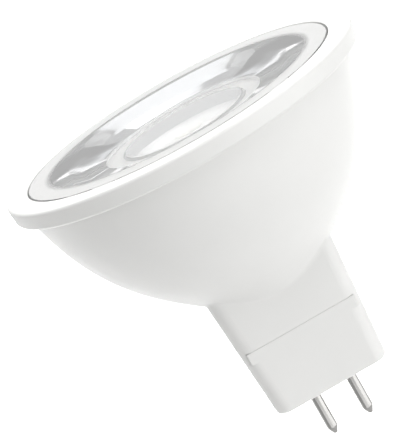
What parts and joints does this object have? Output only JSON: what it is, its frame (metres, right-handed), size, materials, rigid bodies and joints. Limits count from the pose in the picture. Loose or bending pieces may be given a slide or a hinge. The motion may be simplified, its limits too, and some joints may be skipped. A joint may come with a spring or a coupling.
{
  "type": "led spotlight bulb",
  "caption": "White LED reflector lamp: a moulded bowl with a clear collimator lens flush in its rim, narrowing to a drafted neck block and a plug base with bare contact pins.",
  "frame": {"origin": "middle of the base's flat end face, halfway between the contact pins", "axes": "+Z along the lamp's axis towards the lens, X through both contact pins, -Z the way the pins point"},
  "size_m": [0.05, 0.0499, 0.0481],
  "materials": {
    "white_plastic": "satin moulded thermoplastic",
    "clear_acrylic": "clear polished acrylic, frosted on the flange",
    "bright_aluminium": "bright polished",
    "white_board": "white solder mask on an aluminium board",
    "white_ceramic": "matte ceramic",
    "phosphor": "pale phosphor in silicone",
    "thermal_silicone": "soft filled silicone",
    "plated_pin": "nickel-plated",
    "solder": "bright solder",
    "green_board": "green solder mask on fibreglass",
    "capacitor_sleeve": "shrink sleeve on an aluminium can",
    "ferrite": "pressed ferrite",
    "copper": "enamelled copper wire",
    "black_epoxy": "moulded epoxy",
    "chip_ceramic": "fired ceramic",
    "bushing_rubber": "silicone",
    "wire_red": "wire insulation",
    "wire_black": "wire insulation"
  },
  "bodies": {
    "root": {"housing": "white_plastic", "base_cap": "white_plastic", "lens": "clear_acrylic", "heat_sink": "bright_aluminium", "led_board": "white_board", "led_substrate": "white_ceramic", "led_phosphor": "phosphor", "thermal_pad": "thermal_silicone", "contact_pin_left": "plated_pin", "contact_pin_right": "plated_pin", "pin_solder": "solder", "driver_board": "green_board", "input_capacitor": "capacitor_sleeve", "output_capacitor": "capacitor_sleeve", "inductor_core": "ferrite", "inductor_winding": "copper", "bridge_rectifier": "black_epoxy", "driver_chip": "black_epoxy", "flyback_diode": "black_epoxy", "sense_resistors": "black_epoxy", "ceramic_capacitors": "chip_ceramic", "wire_bushings": "bushing_rubber", "lead_wire_positive": "wire_red", "lead_wire_negative": "wire_black"}
  },
  "joints": []
}
